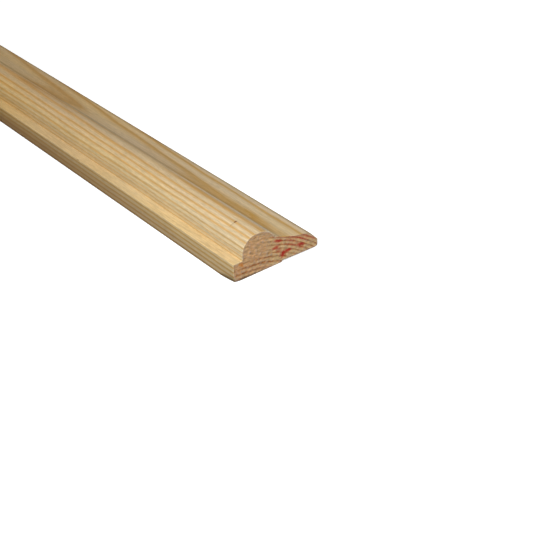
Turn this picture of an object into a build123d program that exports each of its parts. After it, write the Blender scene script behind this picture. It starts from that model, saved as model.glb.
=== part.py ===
from build123d import *
import os
from math import asin, cos, radians, sin, tan

# A length of pine moulding, planed to section from one board, lying flat on its back.
# X runs along the grain, Y runs across the face from the thick edge to the thin tip, and Z is up.
# The origin is under the middle of the back. All sizes are in millimetres.

# The stock
LENGTH = 2400.0  # a length that such moulding is sold in, sawn square at both ends
WIDTH = 44.6  # across the back, from the thick edge to the tip
THICKNESS = 18.8  # from the back to the crest of the round

# The thick edge and the shoulder beside it
EDGE_HEIGHT = 8.9
SHOULDER_WIDTH = 4.5

# The big round, steeper in front than behind
ROUND_FRONT_RADIUS = 7.4
CREST_FLAT = 1.4  # where the two radii meet on top
ROUND_BACK_RADIUS = 9.0

# The quirk, a narrow flat at the root of the round
QUIRK_DEPTH = 5.3  # below the crest
QUIRK_WIDTH = 0.9

# The tail, hollow beside the quirk, then rounded over a nose that falls straight to the thin edge at the tip
TAIL_SLOPE = 8.0  # degrees, where the hollow turns into the nose
NOSE_RADIUS = 5.0
NOSE_SLOPE = 46.0  # degrees, from the end of the nose's radius to the tip
NOSE_FALL_WIDTH = 3.9  # of that straight fall, across the face
TIP_HEIGHT = 3.75  # of the thin edge

# The arrises, eased by the planer knives
EDGE_ARRIS_RADIUS = 0.3
TIP_ARRIS_RADIUS = 1.4

# Where the stretches of the face begin and end, as distances from the thick edge and heights
edge_y = -WIDTH / 2
tip_y = WIDTH / 2
wall_y = edge_y + SHOULDER_WIDTH
crest_start_y = wall_y + ROUND_FRONT_RADIUS
crest_end_y = crest_start_y + CREST_FLAT
round_front_z = THICKNESS - ROUND_FRONT_RADIUS
round_back_z = THICKNESS - ROUND_BACK_RADIUS
quirk_z = THICKNESS - QUIRK_DEPTH
quirk_angle = asin((quirk_z - round_back_z) / ROUND_BACK_RADIUS)
quirk_y = crest_end_y + ROUND_BACK_RADIUS * cos(quirk_angle)
tail_y = quirk_y + QUIRK_WIDTH
fall = radians(NOSE_SLOPE)
nose_end_y = tip_y - NOSE_FALL_WIDTH
nose_end_z = TIP_HEIGHT + NOSE_FALL_WIDTH * tan(fall)
nose_center = (nose_end_y - NOSE_RADIUS * sin(fall), nose_end_z - NOSE_RADIUS * cos(fall))
slope = radians(TAIL_SLOPE)
nose_start = (nose_center[0] + NOSE_RADIUS * sin(slope), nose_center[1] + NOSE_RADIUS * cos(slope))

with BuildPart() as moulding:
    with BuildSketch(Plane.YZ) as section:
        with BuildLine() as outline:
            Polyline(
                (nose_end_y, nose_end_z),
                (tip_y, TIP_HEIGHT),
                (tip_y, 0),
                (edge_y, 0),
                (edge_y, EDGE_HEIGHT),
                (wall_y, EDGE_HEIGHT),
                (wall_y, round_front_z),
            )
            CenterArc((crest_start_y, round_front_z), ROUND_FRONT_RADIUS, 180, -90)
            Line((crest_start_y, THICKNESS), (crest_end_y, THICKNESS))
            RadiusArc((crest_end_y, THICKNESS), (quirk_y, quirk_z), ROUND_BACK_RADIUS)
            Line((quirk_y, quirk_z), (tail_y, quirk_z))
            TangentArc(nose_start, (tail_y, quirk_z), tangent=(-cos(slope), sin(slope)))
            CenterArc(nose_center, NOSE_RADIUS, 90 - NOSE_SLOPE, NOSE_SLOPE - TAIL_SLOPE)
        make_face()
        at_edge = section.vertices().group_by(Axis.X)[0]
        fillet(at_edge, radius=EDGE_ARRIS_RADIUS)
        under_tip = section.vertices().group_by(Axis.Y)[0].sort_by(Axis.X)[-1]
        fillet(under_tip, radius=TIP_ARRIS_RADIUS)
    extrude(amount=LENGTH / 2, both=True)

moulding.part.label = "moulding"

os.makedirs("parts", exist_ok=True)
export_step(moulding.part, "parts/moulding.step")
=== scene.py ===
import random
from math import asin, atan, atan2, ceil, cos, degrees, dist, hypot, pi, radians, sin, tan

import bpy
import numpy as np
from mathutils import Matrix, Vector, geometry, noise


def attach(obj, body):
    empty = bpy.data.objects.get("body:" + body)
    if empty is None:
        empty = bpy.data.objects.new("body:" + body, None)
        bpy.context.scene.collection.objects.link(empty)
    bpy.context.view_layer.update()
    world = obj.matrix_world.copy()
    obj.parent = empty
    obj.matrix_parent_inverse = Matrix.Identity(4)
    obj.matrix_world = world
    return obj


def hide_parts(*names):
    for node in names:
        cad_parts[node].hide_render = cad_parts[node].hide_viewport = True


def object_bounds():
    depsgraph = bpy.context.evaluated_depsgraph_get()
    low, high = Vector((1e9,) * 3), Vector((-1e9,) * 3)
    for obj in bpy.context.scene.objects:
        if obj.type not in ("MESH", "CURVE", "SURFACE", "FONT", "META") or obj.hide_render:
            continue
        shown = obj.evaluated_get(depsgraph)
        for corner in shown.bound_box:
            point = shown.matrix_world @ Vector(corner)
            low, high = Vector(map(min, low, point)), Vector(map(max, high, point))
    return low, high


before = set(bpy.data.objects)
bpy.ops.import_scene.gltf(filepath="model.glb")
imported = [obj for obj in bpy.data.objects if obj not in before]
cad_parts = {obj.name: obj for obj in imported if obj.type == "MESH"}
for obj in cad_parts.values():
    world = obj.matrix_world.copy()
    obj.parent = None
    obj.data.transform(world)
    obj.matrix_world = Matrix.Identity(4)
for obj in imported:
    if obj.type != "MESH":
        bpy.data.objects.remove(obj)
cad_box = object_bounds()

# The camera stands where the photographer stood. Its aim and place come from the photograph's own
# lines, given as pixels of its square frame: the long edges of the stock run together at one point,
# on the horizon up to the left.
PHOTO_PIXELS = 540
FOCAL_PIXELS = 1140.0
HORIZON_ROW = -473.0
VANISHING_COLUMN = -853.0
FOOT_COLUMN = 233.5  # the foot of the thick edge at the near end
FOOT_ROW = 284.0
FOOT_DEPTH = 0.4531  # metres along the line of sight
SENSOR_WIDTH = 36.0

cad_low, cad_high = cad_box
frame_middle = PHOTO_PIXELS / 2
rise = frame_middle - HORIZON_ROW
tilt = atan(rise / FOCAL_PIXELS)
heading = atan2(frame_middle - VANISHING_COLUMN, hypot(FOCAL_PIXELS, rise))
camera_data = bpy.data.cameras.new("photo_camera")
camera_data.sensor_width = SENSOR_WIDTH
camera_data.lens = SENSOR_WIDTH * FOCAL_PIXELS / PHOTO_PIXELS
camera = bpy.data.objects.new("photo_camera", camera_data)
camera.rotation_euler = (pi / 2 - tilt, 0, pi / 2 - heading)
foot_ray = Vector((FOOT_COLUMN - frame_middle, frame_middle - FOOT_ROW, -FOCAL_PIXELS)) / FOCAL_PIXELS
near_foot = Vector((cad_high.x, cad_low.y, cad_low.z))
camera.location = near_foot - camera.rotation_euler.to_matrix() @ (foot_ray * FOOT_DEPTH)
bpy.context.scene.collection.objects.link(camera)
bpy.context.scene.camera = camera

# The section of the moulding, as the planer's knives cut it: a thick square edge, a shoulder, a big
# round that is steeper in front than behind, a narrow quirk at its root, and a hollow tail that falls
# over a nose to a thin edge. In millimetres, across from the thick edge and up from the back.
MM = 0.001
LENGTH, WIDTH, THICKNESS = (cad_high - cad_low) / MM
EDGE_HEIGHT = 8.9
SHOULDER_WIDTH = 4.5
ROUND_FRONT_RADIUS = 7.4
CREST_FLAT = 1.4
ROUND_BACK_RADIUS = 9.0
QUIRK_DEPTH = 5.3
QUIRK_WIDTH = 0.9
TAIL_SLOPE = 8.0
NOSE_RADIUS = 5.0
NOSE_SLOPE = 46.0
NOSE_FALL_WIDTH = 3.9
TIP_HEIGHT = 3.75
EDGE_ARRIS_RADIUS = 0.3
TIP_ARRIS_RADIUS = 1.4
POINT_PITCH = 0.65  # between the mesh's points around the section
ARC_STEPS = 4  # in the shortest arcs


def arc(center, radius, start, end):
    """Points along an arc, between two angles in degrees."""
    steps = max(ARC_STEPS, ceil(abs(radians(end - start)) * radius / POINT_PITCH))
    angles = [radians(start + (end - start) * i / steps) for i in range(steps + 1)]
    return [(center[0] + radius * cos(a), center[1] + radius * sin(a)) for a in angles]


def run(start, end):
    """Points along a straight stretch."""
    steps = max(1, ceil(dist(start, end) / POINT_PITCH))
    shares = [i / steps for i in range(steps + 1)]
    return [(start[0] + (end[0] - start[0]) * t, start[1] + (end[1] - start[1]) * t) for t in shares]


crest_start = SHOULDER_WIDTH + ROUND_FRONT_RADIUS
crest_end = crest_start + CREST_FLAT
round_front_center = (crest_start, THICKNESS - ROUND_FRONT_RADIUS)
round_back_center = (crest_end, THICKNESS - ROUND_BACK_RADIUS)
quirk_height = THICKNESS - QUIRK_DEPTH
quirk_angle = asin((quirk_height - round_back_center[1]) / ROUND_BACK_RADIUS)
quirk_start = crest_end + ROUND_BACK_RADIUS * cos(quirk_angle)
tail_start = (quirk_start + QUIRK_WIDTH, quirk_height)
fall = (sin(radians(NOSE_SLOPE)), cos(radians(NOSE_SLOPE)))
slope = (sin(radians(TAIL_SLOPE)), cos(radians(TAIL_SLOPE)))
nose_end = (WIDTH - NOSE_FALL_WIDTH, TIP_HEIGHT + NOSE_FALL_WIDTH * tan(radians(NOSE_SLOPE)))
nose_center = (nose_end[0] - NOSE_RADIUS * fall[0], nose_end[1] - NOSE_RADIUS * fall[1])
nose_start = (nose_center[0] + NOSE_RADIUS * slope[0], nose_center[1] + NOSE_RADIUS * slope[1])
# The hollow of the tail is the arc from its root to the nose that runs into the nose without a kink.
chord = (tail_start[0] - nose_start[0], tail_start[1] - nose_start[1])
hollow_radius = (chord[0] ** 2 + chord[1] ** 2) / (2 * (chord[0] * slope[0] + chord[1] * slope[1]))
hollow_center = (nose_start[0] + hollow_radius * slope[0], nose_start[1] + hollow_radius * slope[1])
hollow_root = degrees(atan2(tail_start[1] - hollow_center[1], tail_start[0] - hollow_center[0]))

stretches = [
    run((0, EDGE_ARRIS_RADIUS), (0, EDGE_HEIGHT - EDGE_ARRIS_RADIUS)),
    arc((EDGE_ARRIS_RADIUS, EDGE_HEIGHT - EDGE_ARRIS_RADIUS), EDGE_ARRIS_RADIUS, 180, 90),
    run((EDGE_ARRIS_RADIUS, EDGE_HEIGHT), (SHOULDER_WIDTH, EDGE_HEIGHT)),
    run((SHOULDER_WIDTH, EDGE_HEIGHT), (SHOULDER_WIDTH, round_front_center[1])),
    arc(round_front_center, ROUND_FRONT_RADIUS, 180, 90),
    run((crest_start, THICKNESS), (crest_end, THICKNESS)),
    arc(round_back_center, ROUND_BACK_RADIUS, 90, degrees(quirk_angle)),
    run((quirk_start, quirk_height), tail_start),
    arc(hollow_center, hollow_radius, hollow_root, -90 - TAIL_SLOPE),
    arc(nose_center, NOSE_RADIUS, 90 - TAIL_SLOPE, 90 - NOSE_SLOPE),
    run(nose_end, (WIDTH, TIP_HEIGHT)),
    run((WIDTH, TIP_HEIGHT), (WIDTH, TIP_ARRIS_RADIUS)),
    arc((WIDTH - TIP_ARRIS_RADIUS, TIP_ARRIS_RADIUS), TIP_ARRIS_RADIUS, 0, -90),
    run((WIDTH - TIP_ARRIS_RADIUS, 0), (EDGE_ARRIS_RADIUS, 0)),
    arc((EDGE_ARRIS_RADIUS, EDGE_ARRIS_RADIUS), EDGE_ARRIS_RADIUS, 270, 180),
]
section = np.array([point for stretch in stretches for point in stretch[:-1]])
ahead = np.roll(section, -1, axis=0)
behind = np.roll(section, 1, axis=0)
reach = ahead - behind
inward = np.stack([reach[:, 1], -reach[:, 0]], axis=1) / np.linalg.norm(reach, axis=1)[:, None]
around = np.concatenate([[0], np.cumsum(np.linalg.norm(ahead - section, axis=1))])

# The length of stock itself, planed on all faces and sawn square at both ends. The saw has broken its
# arrises a little, the near corner under the thick edge is bruised, a splinter has come away under the
# near end, and the arris of the shoulder has a dent.
STATION_FIRST = 0.1  # mm between the first cross-sections at an end
STATION_GROWTH = 0.16
STATION_LAST = 12.0
END_ARRIS = 0.3
WEAR_VARIES = 0.5  # the share by which the saw's wear varies around the end
WEAR_RATE = 0.5  # and how fast, to the millimetre
BRUISE_LENGTH = 9.0
BRUISE_POWER = 1.6
BRUISE_REACH = 2.4
BRUISE_SHIFT = (0.7, 0.4)
SPLINTER_PLACE = 25.6
SPLINTER_HEIGHT = 0.75
SPLINTER_WIDTH = 14.0
SPLINTER_LENGTH = 3.0
SPLINTER_RISE = 1.5  # how far up the section it reaches
NICK_PLACE = 116.0
NICK_LENGTH = 1.8
NICK_WIDTH = 0.6
NICK_DEPTH = 0.3
NICK_OFFSET = 0.2  # from the top of the edge towards the shoulder
NICK_STATIONS = 9
NICK_SPAN = 1.5  # to each side of its middle, in its own lengths
NICK_CLEAR = 1.0  # mm kept clear of other cross-sections beyond them
ROW_ENDS = (400.0, 1400.0)  # where the rows of the texture layout end, from the near end
SHARP_ANGLE = 38.0

stations = [0.0]
while stations[-1] < LENGTH / 2:
    stations.append(stations[-1] + min(STATION_LAST, STATION_FIRST + STATION_GROWTH * stations[-1]))
half = np.array(stations[:-1])
dent = NICK_PLACE + NICK_LENGTH * np.linspace(-NICK_SPAN, NICK_SPAN, NICK_STATIONS)
half = half[(half < dent[0] - NICK_CLEAR) | (half > dent[-1] + NICK_CLEAR)]
half = np.sort(np.concatenate([half, dent]))
stations = np.concatenate([half, LENGTH - half[::-1]])
for row_end in ROW_ENDS:
    stations[np.argmin(abs(stations - row_end))] = row_end

from_end = stations[:, None]
from_either_end = np.minimum(from_end, LENGTH - from_end)
across = np.repeat(section[None, :, 0], len(stations), axis=0)
up = np.repeat(section[None, :, 1], len(stations), axis=0)
uneven = np.array([1 + WEAR_VARIES * noise.noise((a * WEAR_RATE, 0, 0)) for a in around[:-1]])[None, :]
left = np.clip(END_ARRIS - from_either_end, 0, END_ARRIS)
worn = (END_ARRIS - np.sqrt(END_ARRIS ** 2 - left ** 2)) * uneven
nick_middle = around[None, :-1] - EDGE_HEIGHT - NICK_OFFSET
nick_around = 1 - np.clip(abs(nick_middle) / NICK_WIDTH, 0, 1) ** 2
nick_along = 1 - np.clip(abs(from_end - NICK_PLACE) / NICK_LENGTH, 0, 1) ** 2
worn = worn + NICK_DEPTH * nick_around * nick_along
corner_distance = np.hypot(section[:, 0], section[:, 1])[None, :]
bruise_along = np.clip(1 - from_end / BRUISE_LENGTH, 0, 1) ** BRUISE_POWER
bruise = bruise_along * np.exp(-((corner_distance / BRUISE_REACH) ** 2))
past = section[None, :, 0] - SPLINTER_PLACE
splinter_across = np.where(past > 0, np.exp(-past / SPLINTER_WIDTH), 0)
splinter_along = np.clip(1 - from_end / SPLINTER_LENGTH, 0, 1)
splinter_up = np.clip(1 - section[None, :, 1] / SPLINTER_RISE, 0, 1)
splinter = splinter_across * splinter_along * splinter_up
across = across + worn * inward[None, :, 0] + bruise * BRUISE_SHIFT[0]
up = up + worn * inward[None, :, 1] + bruise * BRUISE_SHIFT[1] + splinter * SPLINTER_HEIGHT

ring_size = len(section)
body = np.stack([np.repeat(LENGTH / 2 - from_end, ring_size, axis=1), across - WIDTH / 2, up], axis=2)
points = [body.reshape(-1, 3)]
last = len(stations) - 1
faces = []
for i in range(last):
    here, there = i * ring_size, (i + 1) * ring_size
    for j in range(ring_size):
        k = (j + 1) % ring_size
        faces.append((here + j, here + k, there + k, there + j))

# The sawn ends, where the fibres are cut across. The blade tears the soft wood of each growth ring and
# leaves loose fibre ends standing, so the whole face is a shallow felted relief inside its arris.
CAP_PITCH = 0.42  # between the points of the relief
CAP_ROW_STEP = 0.866  # from row to row, of that pitch
CAP_JITTER = 0.1
CAP_MARGIN = 0.3  # kept clear of points along the outline
CAP_RIM = 0.6  # the width over which the relief sinks in
CAP_DEPTH = 0.3
FIBRE_SIZE = 1.1
FIBRE_ROUGHNESS = 0.6
FIBRE_STEP = 2.1  # in size, from one layer of the noise to the next
FIBRE_LAYERS = 3
FAR_END_SHIFT = 3.0  # in the noise, so that the two ends differ
TINY = 1e-9  # in place of a zero that would divide
MERGED = 1e-6  # mm within which the points of an end are one
INSIDE_ONLY = 1  # the kind of triangulation that keeps within the outline
cap_random = random.Random(7)


def sawn_end(outline, flip):
    """The points inside one end's outline, how deep each lies, and the triangles that close the end."""
    closed = np.concatenate([outline, outline[:1]])
    low, high = outline.min(axis=0), outline.max(axis=0)
    inner = []
    row = 0
    z = low[1] + CAP_PITCH
    while z < high[1]:
        y = low[0] + CAP_PITCH * (0.5 if row % 2 else 1)
        while y < high[0]:
            beside = y + cap_random.uniform(-CAP_JITTER, CAP_JITTER)
            inner.append((beside, z + cap_random.uniform(-CAP_JITTER, CAP_JITTER)))
            y += CAP_PITCH
        z += CAP_PITCH * CAP_ROW_STEP
        row += 1
    inner = np.array(inner)
    start, step = closed[:-1][None], np.diff(closed, axis=0)[None]
    offset = inner[:, None] - start
    share = np.clip((offset * step).sum(2) / np.maximum((step ** 2).sum(2), TINY), 0, 1)
    rim = np.linalg.norm(offset - share[..., None] * step, axis=2).min(axis=1)
    crosses = (start[..., 1] > inner[:, None, 1]) != (closed[1:][None, :, 1] > inner[:, None, 1])
    climb = np.where(step[..., 1] == 0, TINY, step[..., 1])
    crossing = start[..., 0] + (inner[:, None, 1] - start[..., 1]) / climb * step[..., 0]
    inside = (crosses & (inner[:, None, 0] < crossing)).sum(axis=1) % 2 == 1
    kept = inside & (rim > CAP_MARGIN)
    inner, rim = inner[kept], rim[kept]
    flat = [Vector(p) for p in np.concatenate([outline, inner])]
    loop = list(range(len(outline)))
    made = geometry.delaunay_2d_cdt(flat, [], [loop], INSIDE_ONLY, MERGED)
    source = [ids[0] for ids in made[3]]
    triangles = [tuple(source[i] for i in face) for face in made[2]]
    if flip:
        triangles = [t[::-1] for t in triangles]
    depth = []
    for (y, z), from_rim in zip(inner, rim):
        spot = (y / FIBRE_SIZE, z / FIBRE_SIZE, FAR_END_SHIFT * flip)
        felt = noise.fractal(spot, FIBRE_ROUGHNESS, FIBRE_STEP, FIBRE_LAYERS)
        depth.append(CAP_DEPTH * min(1, from_rim / CAP_RIM) * (0.5 + 0.5 * felt))
    return inner, np.clip(depth, 0, None), triangles


long_faces = len(faces)
cap_start = {}
for end, flip, station in (("near", False, 0), ("far", True, last)):
    outline = body[station, :, 1:]
    inner, depth, triangles = sawn_end(outline, flip)
    first = sum(len(p) for p in points)
    toward = -1 if station == 0 else 1
    points.append(np.column_stack([body[station, 0, 0] + toward * depth, inner]))
    cap_start[end] = len(faces)
    rim_first = station * ring_size
    for triangle in triangles:
        faces.append(tuple(i + rim_first if i < ring_size else i - ring_size + first for i in triangle))

mesh = bpy.data.meshes.new("pine_moulding_wood")
vertices = np.concatenate(points) * MM
mesh.from_pydata(vertices.tolist(), [], faces)
mesh.shade_smooth()
mesh.set_sharp_from_angle(angle=radians(SHARP_ANGLE))

# The texture layout: three strips for the long faces, cut across the length and stacked, and the two
# sawn ends side by side under them, in pixels of one square sheet. The near strip and the ends get more
# of it, as they show most.
SHEET = 1024
GAP = 6
STRIP_HEIGHTS = (350, 240, 240)
END_SCALE = 8.0  # pixels to a millimetre
strip_starts = (0.0,) + ROW_ENDS
strip_ends = ROW_ENDS + (LENGTH,)
layer = mesh.uv_layers.new(name="OFBake")
coordinates = np.zeros((len(mesh.loops), 2))
loop_vertex = np.zeros(len(mesh.loops), int)
mesh.loops.foreach_get("vertex_index", loop_vertex)
strip_floor = GAP + THICKNESS * END_SCALE + 2 * GAP
corner = 0
for index, face in enumerate(faces[:long_faces]):
    i, j = divmod(index, ring_size)
    mid = (stations[i] + stations[i + 1]) / 2
    strip = sum(mid > e for e in ROW_ENDS)
    base = strip_floor + sum(STRIP_HEIGHTS[:strip]) + GAP * strip
    along = [stations[i], stations[i], stations[i + 1], stations[i + 1]]
    turned = [around[j], around[j + 1], around[j + 1], around[j]]
    for s, a in zip(along, turned):
        share = (s - strip_starts[strip]) / (strip_ends[strip] - strip_starts[strip])
        height = base + a / around[-1] * STRIP_HEIGHTS[strip]
        coordinates[corner] = (GAP + share * (SHEET - 2 * GAP), height)
        corner += 1
end_points = vertices[loop_vertex[corner:]] / MM
second = np.arange(corner, len(mesh.loops)) >= 4 * long_faces + 3 * (cap_start["far"] - cap_start["near"])
end_shift = second * (WIDTH * END_SCALE + 4 * GAP)
coordinates[corner:, 0] = GAP + (end_points[:, 1] + WIDTH / 2) * END_SCALE + end_shift
coordinates[corner:, 1] = GAP + end_points[:, 2] * END_SCALE
layer.data.foreach_set("uv", (coordinates / SHEET).ravel())

wood = bpy.data.objects.new("pine_moulding_wood", mesh)
bpy.context.scene.collection.objects.link(wood)

# Scots pine with some 1.7 mm of growth a year, sawn well clear of the pith. Each year is pale soft
# earlywood that darkens to a thin line of hard ochre latewood, so the same rings show as arcs on the
# ends, as fine lines on the upright faces and as broad bands where a face lies along them.
PITH = (3.4, -48.4)  # mm across and up, from the foot of the thick edge
RING_AT = 64.5  # the distance from the pith of one dark line, which meets the hollow of the tail
RING_WIDTH = 1.7
YOUNG_RING = 56.0  # inside this line the tree was younger and grew faster
YOUNG_RING_WIDTH = 2.26
TAPER = 0.0045  # the trunk thickens along the stock by this share of its length
SIDE_SWAY = 9.8  # and its own sweep carries the pith to and fro
SIDE_SWAY_LENGTH = 1100.0
WAVE = 0.3  # mm by which the rings waver
WAVE_STREAKS = (60.0, 12.0, 6.0, 0.6)  # the waver's length and width in mm, its detail and roughness
WAVE_SPAN = (0.25, 0.75)
LEAN_FROM = (9.5, 14.8)  # under the crest of the round the rings lean over towards the tail
LEAN = 0.041
TAIL_AHEAD = 0.16  # in the tail, away from the near end, they lie lower by this share of a ring
TAIL_AHEAD_ACROSS = (19.5, 24.0)
TAIL_AHEAD_LENGTH = (25.0, 95.0)
HEART_REACH = (57.9, 51.7)  # mm from the pith, where the wood browns inwards to the heart
HEART_LENGTH = (-60.0, 260.0)  # mm from the near end, over which it browns the more
HEART_FADE = (260.0, 520.0)  # and over which it pales again
HEART_FADED = 0.35
SAP_RINGS = (62.5, 66.5)  # mm from the pith, where the duller, youngest sapwood begins
SAP_ACROSS = (15.0, 22.0)  # and mm across, as it takes in the whole tail
EARLYWOOD = "#EFDAAC"
OUTER_EARLYWOOD = "#E5CFA9"
LATEWOOD_YELLOW = "#DEA94C"
LATEWOOD_OCHRE = "#D09C46"
HEARTWOOD = "#9A7452"


def paint(code):
    """A colour's sRGB hex value, as linear red, green, blue and alpha."""
    parts = [int(code[i : i + 2], 16) / 255 for i in (1, 3, 5)]
    return [p / 12.92 if p <= 0.04045 else ((p + 0.055) / 1.055) ** 2.4 for p in parts] + [1.0]


def add_node(tree, kind, inputs=None, stops=(), **settings):
    """Adds a shader node with its settings, its inputs by name or number, and a ramp's stops."""
    made = tree.nodes.new("ShaderNode" + kind)
    for name, value in settings.items():
        setattr(made, name, value)
    for socket, value in (inputs or {}).items():
        if isinstance(value, bpy.types.NodeSocket):
            tree.links.new(value, made.inputs[socket])
        else:
            made.inputs[socket].default_value = value
    for number, (place, color) in enumerate(stops):
        if number > 1:
            made.color_ramp.elements.new(1.0)
        made.color_ramp.elements[number].position = place
        made.color_ramp.elements[number].color = color
    return made


def gray(level):
    """A gray, for a plain white or for a ramp that gives a plain number."""
    return [level, level, level, 1.0]


def grays(stops):
    """A ramp's stops, from pairs of a place and a level."""
    return [(place, gray(level)) for place, level in stops]


def streaks(tree, place, length, width, detail, roughness=0.5):
    """Noise drawn out along the grain. Its length and width are in millimetres."""
    drawn = add_node(
        tree, "VectorMath", {0: place, 1: (1 / length, 1 / width, 1 / width)}, operation="MULTIPLY"
    ).outputs[0]
    inputs = {"Vector": drawn, "Scale": 1.0, "Detail": detail, "Roughness": roughness}
    return add_node(tree, "TexNoise", inputs).outputs[0]


def growth_rings(tree):
    """The place in mm from the near foot, whole and split, and the share of a ring from line to line.

    After these three come the distance from the pith less the taper, the ring's number, and how far the
    wood is heartwood and outer sapwood.
    """
    place = add_node(tree, "TexCoord").outputs["Object"]
    scaled = add_node(
        tree,
        "VectorMath",
        {0: place, 1: (-1 / MM, 1 / MM, 1 / MM), 2: (LENGTH / 2, WIDTH / 2, 0)},
        operation="MULTIPLY_ADD",
    ).outputs[0]
    split = add_node(tree, "SeparateXYZ", {0: scaled})
    along, over, up = split.outputs
    angle = add_node(tree, "Math", {0: along, 1: 2 * pi / SIDE_SWAY_LENGTH}, operation="MULTIPLY").outputs[0]
    swing = add_node(tree, "Math", {0: angle}, operation="COSINE").outputs[0]
    sway = add_node(
        tree, "Math", {0: swing, 1: -SIDE_SWAY, 2: SIDE_SWAY + PITH[0]}, operation="MULTIPLY_ADD"
    ).outputs[0]
    pith = add_node(tree, "CombineXYZ", {0: along, 1: sway, 2: PITH[1]}).outputs[0]
    distance = add_node(tree, "VectorMath", {0: scaled, 1: pith}, operation="DISTANCE").outputs["Value"]
    radius = add_node(tree, "Math", {0: along, 1: -TAPER, 2: distance}, operation="MULTIPLY_ADD").outputs[0]
    noisy = streaks(tree, scaled, *WAVE_STREAKS)
    waver = add_node(
        tree, "MapRange", {0: noisy, 1: WAVE_SPAN[0], 2: WAVE_SPAN[1], 3: -WAVE, 4: WAVE}, clamp=False
    ).outputs[0]
    wavy = add_node(tree, "Math", {0: waver, 1: radius}, operation="ADD").outputs[0]
    grown = add_node(tree, "Math", {0: wavy, 1: YOUNG_RING}, operation="MAXIMUM").outputs[0]
    young = add_node(tree, "Math", {0: wavy, 1: YOUNG_RING}, operation="MINIMUM").outputs[0]
    older = add_node(
        tree, "Math", {0: grown, 1: 1 / RING_WIDTH, 2: -RING_AT / RING_WIDTH}, operation="MULTIPLY_ADD"
    ).outputs[0]
    younger = add_node(
        tree,
        "Math",
        {0: young, 1: 1 / YOUNG_RING_WIDTH, 2: -YOUNG_RING / YOUNG_RING_WIDTH},
        operation="MULTIPLY_ADD",
    ).outputs[0]
    upright = add_node(tree, "Math", {0: older, 1: younger}, operation="ADD").outputs[0]
    beyond = add_node(tree, "Math", {0: over, 1: LEAN_FROM[0]}, operation="SUBTRACT").outputs[0]
    above = add_node(tree, "Math", {0: up, 1: LEAN_FROM[1]}, operation="SUBTRACT").outputs[0]
    crown = add_node(tree, "Math", {0: above, 1: 0.0}, operation="MAXIMUM").outputs[0]
    leaning = add_node(tree, "Math", {0: crown, 1: LEAN}, operation="MULTIPLY").outputs[0]
    leaned = add_node(tree, "Math", {0: leaning, 1: beyond, 2: upright}, operation="MULTIPLY_ADD").outputs[0]
    lowest = add_node(
        tree, "MapRange", {0: along, 1: TAIL_AHEAD_LENGTH[0], 2: TAIL_AHEAD_LENGTH[1], 3: 0.0, 4: TAIL_AHEAD}
    ).outputs[0]
    lower = add_node(
        tree, "MapRange", {0: over, 1: TAIL_AHEAD_ACROSS[0], 2: TAIL_AHEAD_ACROSS[1], 3: 0.0, 4: lowest}
    ).outputs[0]
    count = add_node(tree, "Math", {0: leaned, 1: lower}, operation="ADD").outputs[0]
    number = add_node(tree, "Math", {0: count}, operation="FLOOR").outputs[0]
    share = add_node(tree, "Math", {0: count}, operation="FRACT").outputs[0]
    inner = add_node(tree, "MapRange", {0: distance, 1: HEART_REACH[0], 2: HEART_REACH[1]}).outputs[0]
    further = add_node(tree, "MapRange", {0: along, 1: HEART_LENGTH[0], 2: HEART_LENGTH[1]}).outputs[0]
    faded = add_node(
        tree, "MapRange", {0: along, 1: HEART_FADE[0], 2: HEART_FADE[1], 3: 1.0, 4: HEART_FADED}
    ).outputs[0]
    browner = add_node(tree, "Math", {0: further, 1: faded}, operation="MULTIPLY").outputs[0]
    heart = add_node(tree, "Math", {0: inner, 1: browner}, operation="MULTIPLY").outputs[0]
    sap = add_node(tree, "MapRange", {0: radius, 1: SAP_RINGS[0], 2: SAP_RINGS[1]}).outputs[0]
    duller = add_node(tree, "MapRange", {0: over, 1: SAP_ACROSS[0], 2: SAP_ACROSS[1]}).outputs[0]
    outer = add_node(tree, "Math", {0: sap, 1: duller}, operation="MAXIMUM").outputs[0]
    return scaled, split, share, radius, number, heart, outer


# One oval mask draws the real stains and marks, and also the painted shade and sheen among the planed marks
def stain_and_painted_light_oval(tree, place, middle, half_sizes, turn, strength, soft=(1.25, 0.5)):
    """How far a place lies inside an oval mark, from 0 to its strength, in millimetres and degrees."""
    local = add_node(
        tree,
        "Mapping",
        {0: place, "Location": middle, "Rotation": (radians(turn), 0, 0), "Scale": half_sizes},
        vector_type="TEXTURE",
    ).outputs[0]
    away = add_node(tree, "VectorMath", {0: local}, operation="LENGTH").outputs["Value"]
    return add_node(
        tree,
        "MapRange",
        {0: away, 1: soft[0], 2: soft[1], 3: 0.0, 4: strength},
        interpolation_type="SMOOTHSTEP",
    ).outputs[0]


# Planed pine: the knives leave the faces smooth, with a soft sheen, and cut through long fibres that
# show as fine streaks, with short brown dashes where resin canals lie open. Both are drawn some three
# times coarser than the real ones, which are too fine to show.
LATE_STOPS = ((0.0, 1.0), (0.1, 0.45), (0.24, 0.08), (0.5, 0.0), (0.74, 0.3), (0.9, 0.85))
YEAR_LEAST = 0.75  # of the darkest years' strength, in the palest
FAINT_RINGS = (59.6, 2.4)  # the middle and half width of a span of faint rings
FAINT_SHARE = 0.75
TAIL_LATEWOOD = "#C3922C"
TAIL_ACROSS = (22.0, 26.0)
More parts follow.
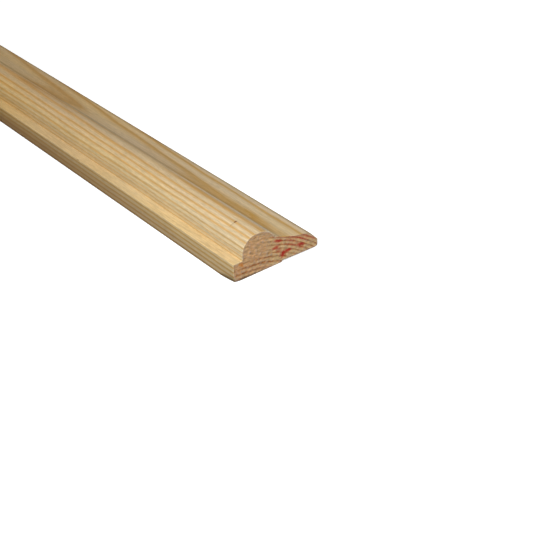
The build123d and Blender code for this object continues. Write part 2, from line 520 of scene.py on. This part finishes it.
# Each kind of streak: its length and width in mm, and its detail
FIBRES = (14.0, 0.7, 3.0)
FLECKS = (3.0, 0.35, 2.0)
CANALS = (5.0, 0.4, 1.0)
PATCHES = (110.0, 9.0, 2.0)
FIBRE_STOPS = ((0.3, 0.88), (0.7, 1.07))
FLECK_STOPS = ((0.3, 0.88), (0.7, 1.1))
CANAL_EDGE = (0.66, 0.76)
CANAL_SHARE = 0.35
RESIN_CANAL = "#B98A52"
PATCH_SPAN = (0.35, 0.65)
PATCH_COOL = "#F7F6FA"
PATCH_WARM = "#FFFAEC"
# Partly the wood's own tone and partly painted fall-off of the light: the colour is dimmed and yellowed from
# 30 to 190 mm away from the near end
FAR_TINT_AND_DIMMING = "#F6ECD8"  # the wood yellows over the first stretch from the near end
FAR_STRETCH = (30.0, 190.0)
PALE_ROUGHNESS = 0.74
LATE_ROUGHNESS = 0.6
PIN_KNOT = "#8C6436"
# Painted shade: a greyed darkening along the quirk at the root of the round, where the round shades the tail
QUIRK_SHADE = "#D2CEC8"
# Painted shade: a greyed darkening along the nose, whose fall turns away from the lamps
NOSE_SHADE = "#D0CCC0"
# Painted shade: a greyed darkening along the foot's arris, where the stock meets the floor
FOOT_SHADE = "#BDB4A4"
# Darker, greyer olive at the bruised near corner of the foot
BRUISE_DARK = "#8E866C"
# Painted sheen: a pale grey-blue laid over the back of the round near the near end, for the white surround
# mirrored there at a grazing angle
PAINTED_SHEEN = "#E6EADC"
quirk_middle = (LENGTH / 2, tail_start[0] + 0.5, tail_start[1])
# Each mark: its middle from the near foot, its half sizes, its turn across, its strength, its colour
# and its blend
MARKS = (
    # painted sheen on the back of the round, near the near end
    ((0.0, 19.4, 15.6), (84.0, 4.8, 4.2), 0, 0.33, PAINTED_SHEEN, "MIX"),
    ((12.6, 11.2, THICKNESS - 0.1), (0.45, 0.8, 0.5), 0, 0.95, PIN_KNOT, "MULTIPLY"),
    ((12.4, 9.4, THICKNESS - 0.5), (0.3, 1.9, 0.5), 20, 0.3, PIN_KNOT, "MULTIPLY"),
    ((NICK_PLACE, 0.1, EDGE_HEIGHT), (1.3, 0.5, 0.5), 0, 0.45, PIN_KNOT, "MULTIPLY"),
    # painted shade along the quirk
    (quirk_middle, (2 * LENGTH, 2.2, 1.4), 0, 0.65, QUIRK_SHADE, "MULTIPLY"),
    # painted shade along the nose
    ((LENGTH / 2, nose_end[0], nose_end[1]), (2 * LENGTH, 3.2, 3.2), 0, 0.85, NOSE_SHADE, "MULTIPLY"),
    # painted shade along the foot's arris
    ((LENGTH / 2, 0.0, 0.0), (2 * LENGTH, 1.0, 1.0), 0, 0.8, FOOT_SHADE, "MULTIPLY"),
    # darker at the bruised near corner of the foot
    ((2.0, 0.2, 0.4), (8.0, 1.4, 1.8), 0, 0.7, BRUISE_DARK, "MULTIPLY"),
)
planed = bpy.data.materials.new("planed_pine")
planed.use_nodes = True
tree = planed.node_tree
tree.nodes.clear()
place, split, share, radius, number, heart, outer = growth_rings(tree)
late = add_node(tree, "ValToRGB", {0: share}, grays(LATE_STOPS)).outputs[0]
year = add_node(tree, "TexWhiteNoise", {"W": number}, noise_dimensions="1D").outputs[0]
year_strength = add_node(tree, "MapRange", {0: year, 3: YEAR_LEAST, 4: 1.0}).outputs[0]
off_faint = add_node(
    tree, "Math", {0: radius, 1: FAINT_RINGS[0], 2: FAINT_RINGS[1]}, operation="COMPARE"
).outputs[0]
plainer = add_node(tree, "MapRange", {0: off_faint, 3: 1.0, 4: FAINT_SHARE}).outputs[0]
firm = add_node(tree, "Math", {0: year_strength, 1: plainer}, operation="MULTIPLY").outputs[0]
lateness = add_node(tree, "Math", {0: late, 1: firm}, operation="MULTIPLY").outputs[0]
young_late = add_node(
    tree, "Mix", {0: year, 6: paint(LATEWOOD_YELLOW), 7: paint(LATEWOOD_OCHRE)}, data_type="RGBA"
).outputs[2]
tailward = add_node(tree, "MapRange", {0: split.outputs[1], 1: TAIL_ACROSS[0], 2: TAIL_ACROSS[1]}).outputs[0]
late_color = add_node(
    tree, "Mix", {0: tailward, 6: young_late, 7: paint(TAIL_LATEWOOD)}, data_type="RGBA"
).outputs[2]
early_color = add_node(
    tree, "Mix", {0: outer, 6: paint(EARLYWOOD), 7: paint(OUTER_EARLYWOOD)}, data_type="RGBA"
).outputs[2]
ringed = add_node(tree, "Mix", {0: lateness, 6: early_color, 7: late_color}, data_type="RGBA").outputs[2]
fibre = streaks(tree, place, *FIBRES)
streak = add_node(tree, "ValToRGB", {0: fibre}, grays(FIBRE_STOPS)).outputs[0]
fibrous = add_node(
    tree, "Mix", {0: 1.0, 6: ringed, 7: streak}, data_type="RGBA", blend_type="MULTIPLY"
).outputs[2]
# Shorter, finer flecks between the streaks, where single fibres end
grit = streaks(tree, place, *FLECKS)
fleck = add_node(tree, "ValToRGB", {0: grit}, grays(FLECK_STOPS)).outputs[0]
flecked = add_node(
    tree, "Mix", {0: 1.0, 6: fibrous, 7: fleck}, data_type="RGBA", blend_type="MULTIPLY"
).outputs[2]
canal = streaks(tree, place, *CANALS)
dash = add_node(
    tree, "MapRange", {0: canal, 1: CANAL_EDGE[0], 2: CANAL_EDGE[1], 3: 0.0, 4: CANAL_SHARE}
).outputs[0]
streaked = add_node(tree, "Mix", {0: dash, 6: flecked, 7: paint(RESIN_CANAL)}, data_type="RGBA").outputs[2]
patch = streaks(tree, place, *PATCHES)
patch_stops = [(PATCH_SPAN[0], paint(PATCH_COOL)), (PATCH_SPAN[1], paint(PATCH_WARM))]
tint = add_node(tree, "ValToRGB", {0: patch}, patch_stops).outputs[0]
sapwood = add_node(
    tree, "Mix", {0: 1.0, 6: streaked, 7: tint}, data_type="RGBA", blend_type="MULTIPLY"
).outputs[2]
# dimmed and yellowed away from the near end: partly the wood's tone, partly painted fall-off of the light
far = add_node(tree, "MapRange", {0: split.outputs[0], 1: FAR_STRETCH[0], 2: FAR_STRETCH[1]}).outputs[0]
yellowed_and_dimmed = add_node(
    tree, "Mix", {0: far, 6: sapwood, 7: paint(FAR_TINT_AND_DIMMING)}, data_type="RGBA", blend_type="MULTIPLY"
).outputs[2]
marked = add_node(tree, "Mix", {0: heart, 6: yellowed_and_dimmed, 7: paint(HEARTWOOD)}, data_type="RGBA").outputs[2]
for middle, half_sizes, turn, strength, color, blend in MARKS:
    mark = stain_and_painted_light_oval(tree, place, middle, half_sizes, turn, strength)
    marked = add_node(
        tree, "Mix", {0: mark, 6: marked, 7: paint(color)}, data_type="RGBA", blend_type=blend
    ).outputs[2]
rough = add_node(tree, "MapRange", {0: lateness, 3: PALE_ROUGHNESS, 4: LATE_ROUGHNESS}).outputs[0]
relief = add_node(tree, "Bump", {"Height": fibre, "Strength": 0.35, "Distance": 0.00006}).outputs[0]
surface = add_node(
    tree,
    "BsdfPrincipled",
    {"Base Color": marked, "Roughness": rough, "Normal": relief, "IOR": 1.5, "Specular IOR Level": 0.2},
).outputs[0]
add_node(tree, "OutputMaterial", {0: surface})
mesh.materials.append(planed)

# Sawn end grain: the same rings cut across. The open fibre ends drink in the light, so the wood shows
# browner and duller than on its faces, and marks of red paint have soaked in between the rings.
END_PALE = "#E2A876"
END_STRAW = "#DEB686"
END_TAIL = "#F2CE94"
END_DARK = "#B46C38"
END_LATE_STOPS = ((0.0, 1.0), (0.12, 0.4), (0.25, 0.05), (0.5, 0.0), (0.72, 0.4), (0.88, 0.95))
CLEAR_ACROSS = (16.0, 23.0)  # the rings show clearly in the tail
CLEAR_UP = (8.8, 5.8)  # and in the foot of the section
CLEAR_LEAST = 0.3  # but hardly in the round
BLOTCH_WIDTH = 4.0
BLOTCH_HEIGHT = 3.0
BLOTCH_SPAN = (0.35, 0.7)
TORN_SPAN = (0.38, 0.58)  # the blotches where the saw has torn them
TORN_LEAST = 0.55
END_FUZZ = "#CFB6A4"  # the loosest fibres, left proud and along the arrises
FUZZ_SHARE = 0.6
FUZZ_DEPTHS = (0.03, 0.16)
SPECK_LENGTH = 2.0  # the fibre ends' tufts are drawn several times coarser than the real ones
SPECK_HEIGHT = 0.8
SPECK_SLOPE = 14.0
SPECK_STOPS = ((0.32, 0.72), (0.68, 1.18))
RED = "#C93A2C"
RED_DEPTH = 20.0  # the marks are on the near end alone
NUDGE = (0.0, 2.4, 1.2)  # how far the ragged grain moves the marks' edges, across and up
RAGGED_SCALE = 0.9
DAUB_EDGE = (1.5, 0.3)
SOAKED_LEAST = 0.25  # of the paint that seeps along the dark lines, in the pale wood between
# Each mark here: across, up, half its length, half its width, its slope in degrees and its strength
RED_DABS = (
    (23.2, 11.0, 2.2, 0.9, -20, 0.95),
    (22.0, 8.2, 1.9, 1.0, 5, 0.8),
    (23.4, 6.2, 1.5, 1.3, -40, 0.5),
    (28.3, 4.6, 2.4, 0.8, -8, 1.0),
    (25.8, 4.0, 1.7, 1.5, 30, 1.0),
    (25.6, 2.6, 0.9, 0.8, 0, 0.75),
    (35.5, 4.7, 2.5, 0.9, -15, 0.95),
    (35.2, 3.4, 1.6, 0.6, -25, 0.45),
)
RED_SEEPS = (
    (30.0, 9.6, 4.4, 1.1, -24, 0.9),
    (25.4, 12.3, 5.4, 0.9, -20, 0.8),
    (36.6, 7.7, 5.4, 1.2, -25, 0.85),
    (30.8, 6.6, 4.6, 1.4, -24, 0.6),
    (42.0, 5.2, 1.8, 1.2, -40, 0.6),
)
ORANGE = "#E08A34"  # a smear of resin
ORANGE_MARK = (4.3, 7.2, 1.4, 0.9, -60, 0.85)
# Darker along the bottom arris of the near end
END_FOOT_DARK = "#5A4A32"  # along the back's arris, beside the bruise
END_FOOT_DARK_MARK = (6.5, 0.0, 11.0, 0.9, 0, 0.9)
sawn = bpy.data.materials.new("sawn_pine_end_grain")
sawn.use_nodes = True
tree = sawn.node_tree
tree.nodes.clear()
place, split, share = growth_rings(tree)[:3]
late = add_node(tree, "ValToRGB", {0: share}, grays(END_LATE_STOPS)).outputs[0]
clear_tail = add_node(
    tree,
    "MapRange",
    {0: split.outputs[1], 1: CLEAR_ACROSS[0], 2: CLEAR_ACROSS[1], 3: CLEAR_LEAST, 4: 1.0},
    interpolation_type="SMOOTHSTEP",
).outputs[0]
clear_foot = add_node(
    tree,
    "MapRange",
    {0: split.outputs[2], 1: CLEAR_UP[0], 2: CLEAR_UP[1], 3: 0.0, 4: 1.0},
    interpolation_type="SMOOTHSTEP",
).outputs[0]
clear = add_node(tree, "Math", {0: clear_tail, 1: clear_foot}, operation="MAXIMUM").outputs[0]
blotch_place = add_node(
    tree, "VectorMath", {0: place, 1: (1.0, 1 / BLOTCH_WIDTH, 1 / BLOTCH_HEIGHT)}, operation="MULTIPLY"
).outputs[0]
blotch = add_node(tree, "TexNoise", {"Vector": blotch_place, "Scale": 1.0, "Detail": 3.0}).outputs[0]
torn = add_node(
    tree, "MapRange", {0: blotch, 1: TORN_SPAN[0], 2: TORN_SPAN[1], 3: TORN_LEAST, 4: 1.0}
).outputs[0]
legible = add_node(tree, "Math", {0: clear, 1: torn}, operation="MULTIPLY").outputs[0]
lateness = add_node(tree, "Math", {0: late, 1: legible}, operation="MULTIPLY").outputs[0]
blotch_stops = [(BLOTCH_SPAN[0], paint(END_PALE)), (BLOTCH_SPAN[1], paint(END_STRAW))]
worn_pale = add_node(tree, "ValToRGB", {0: blotch}, blotch_stops).outputs[0]
pale = add_node(tree, "Mix", {0: clear_tail, 6: worn_pale, 7: paint(END_TAIL)}, data_type="RGBA").outputs[2]
ringed = add_node(tree, "Mix", {0: lateness, 6: pale, 7: paint(END_DARK)}, data_type="RGBA").outputs[2]
speck_place = add_node(
    tree,
    "Mapping",
    {0: place, "Rotation": (radians(-SPECK_SLOPE), 0, 0), "Scale": (1.0, SPECK_LENGTH, SPECK_HEIGHT)},
    vector_type="TEXTURE",
).outputs[0]
speck = add_node(tree, "TexNoise", {"Vector": speck_place, "Scale": 1.0, "Detail": 3.0}).outputs[0]
shade = add_node(tree, "ValToRGB", {0: speck}, grays(SPECK_STOPS)).outputs[0]
felted = add_node(
    tree, "Mix", {0: 1.0, 6: ringed, 7: shade}, data_type="RGBA", blend_type="MULTIPLY"
).outputs[2]
flush = add_node(
    tree, "MapRange", {0: split.outputs[0], 1: FUZZ_DEPTHS[0], 2: FUZZ_DEPTHS[1], 3: FUZZ_SHARE, 4: 0.0}
).outputs[0]
fuzzy = add_node(tree, "Mix", {0: flush, 6: felted, 7: paint(END_FUZZ)}, data_type="RGBA").outputs[2]
ragged = add_node(
    tree, "TexNoise", {"Vector": place, "Scale": RAGGED_SCALE, "Detail": 3.0}
).outputs["Color"]
loose = add_node(
    tree, "VectorMath", {0: ragged, 1: NUDGE, 2: place}, operation="MULTIPLY_ADD"
).outputs[0]


def daubed(marks):
    """The strongest of some marks on the near end, each place nudged by the ragged grain."""
    most = None
    for over_mm, up_mm, half_length, half_width, lean, strength in marks:
        middle = (0, over_mm + NUDGE[1] / 2, up_mm + NUDGE[2] / 2)
        half_sizes = (RED_DEPTH, half_length, half_width)
        mark = stain_and_painted_light_oval(tree, loose, middle, half_sizes, lean, strength, DAUB_EDGE)
        if most is None:
            most = mark
        else:
            most = add_node(tree, "Math", {0: most, 1: mark}, operation="MAXIMUM").outputs[0]
    return most


soaked = add_node(tree, "MapRange", {0: late, 3: SOAKED_LEAST, 4: 1.0}).outputs[0]
seep = add_node(tree, "Math", {0: daubed(RED_SEEPS), 1: soaked}, operation="MULTIPLY").outputs[0]
red = add_node(tree, "Math", {0: daubed(RED_DABS), 1: seep}, operation="MAXIMUM").outputs[0]
smeared = add_node(
    tree, "Mix", {0: daubed([ORANGE_MARK]), 6: fuzzy, 7: paint(ORANGE)}, data_type="RGBA"
).outputs[2]
# darker along the bottom arris of the near end
foot_darkened = add_node(
    tree, "Mix", {0: daubed([END_FOOT_DARK_MARK]), 6: smeared, 7: paint(END_FOOT_DARK)}, data_type="RGBA"
).outputs[2]
reddened = add_node(tree, "Mix", {0: red, 6: foot_darkened, 7: paint(RED)}, data_type="RGBA").outputs[2]
relief = add_node(tree, "Bump", {"Height": speck, "Strength": 0.5, "Distance": 0.0003}).outputs[0]
surface = add_node(
    tree,
    "BsdfPrincipled",
    {"Base Color": reddened, "Roughness": 0.8, "Normal": relief, "IOR": 1.5, "Specular IOR Level": 0.25},
).outputs[0]
add_node(tree, "OutputMaterial", {0: surface})
mesh.materials.append(sawn)
material_index = np.zeros(len(mesh.polygons), int)
material_index[long_faces:] = 1
mesh.polygons.foreach_set("material_index", material_index)
mesh.update()

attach(wood, "root")
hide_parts("moulding")

# The studio: a plain white floor that keeps the shadow, an even white surround, a wide overhead lamp,
# one soft box by the near end, where the photograph is brightest, and a row of weaker ones beyond it.
FLOOR_SIZE = 40.0
FLOOR_DROP = 0.0001
AMBIENT = 0.26
LAMP_OFFSET = Vector((0.2, -0.223, 0.295))  # of each lamp from what it is aimed at, in metres
SUN_ENERGY = 0.5
SUN_ANGLE = 30.0
KEY_ENERGY = 1.42
KEY_SIZE = 0.25
ROW_ENERGY = 0.8
ROW_PLACES = (1.3, 1.9, 2.5, 2.95)  # metres from the near end
FLOOR_BOUNCE = "#383838"  # the floor as the wood sees it
FLOOR_WHITE = "#EDEDEC"
FLOOR_LIFT = 0.66

floor_mesh = bpy.data.meshes.new("floor")
side = FLOOR_SIZE / 2
floor_corners = [(-side, -side), (side, -side), (side, side), (-side, side)]
floor_mesh.from_pydata([(x, y, -FLOOR_DROP) for x, y in floor_corners], [], [(0, 1, 2, 3)])
floor = bpy.data.objects.new("floor", floor_mesh)
bpy.context.scene.collection.objects.link(floor)
paper = bpy.data.materials.new("white_studio_paper")
paper.use_nodes = True
tree = paper.node_tree
tree.nodes.clear()
path = add_node(tree, "LightPath")
bounce = add_node(tree, "BsdfDiffuse", {"Color": paint(FLOOR_BOUNCE)}).outputs[0]
shown = add_node(tree, "BsdfDiffuse", {"Color": paint(FLOOR_WHITE)}).outputs[0]
lift = add_node(tree, "Emission", {"Color": gray(1.0), "Strength": FLOOR_LIFT}).outputs[0]
lifted = add_node(tree, "AddShader", {0: shown, 1: lift}).outputs[0]
either = add_node(tree, "MixShader", {0: path.outputs["Is Camera Ray"], 1: bounce, 2: lifted}).outputs[0]
add_node(tree, "OutputMaterial", {0: either})
floor_mesh.materials.append(paper)

world = bpy.data.worlds.new("white_surround")
world.use_nodes = True
bpy.context.scene.world = world
tree = world.node_tree
tree.nodes.clear()
path = add_node(tree, "LightPath")
seen = add_node(tree, "Background", {"Color": gray(1.0), "Strength": 1.0}).outputs[0]
lit = add_node(tree, "Background", {"Color": gray(1.0), "Strength": AMBIENT}).outputs[0]
mirrored = add_node(
    tree, "Math", {0: path.outputs["Is Camera Ray"], 1: path.outputs["Is Glossy Ray"]}, operation="MAXIMUM"
).outputs[0]
either = add_node(tree, "MixShader", {0: mirrored, 1: lit, 2: seen}).outputs[0]
add_node(tree, "OutputWorld", {0: either})


def lamp(name, kind, place, aim, energy, size):
    """A lamp at a place, aimed at another. Size is a box's side in metres or the sun's width in degrees."""
    data = bpy.data.lights.new(name, kind)
    data.energy = energy
    if kind == "SUN":
        data.angle = radians(size)
    else:
        data.size = size
    made = bpy.data.objects.new(name, data)
    made.location = place
    made.rotation_euler = (Vector(aim) - Vector(place)).to_track_quat("-Z", "Y").to_euler()
    bpy.context.scene.collection.objects.link(made)


near_end = Vector((cad_high.x, 0, 0))
lamp("overhead", "SUN", near_end + LAMP_OFFSET, near_end, SUN_ENERGY, SUN_ANGLE)
lamp("soft_box", "AREA", near_end + LAMP_OFFSET, near_end, KEY_ENERGY, KEY_SIZE)
for metres in ROW_PLACES:
    spot = near_end - Vector((metres, 0, 0))
    lamp("soft_box_beyond", "AREA", spot + LAMP_OFFSET, spot, ROW_ENERGY, KEY_SIZE)

bpy.context.scene.view_settings.view_transform = "Standard"
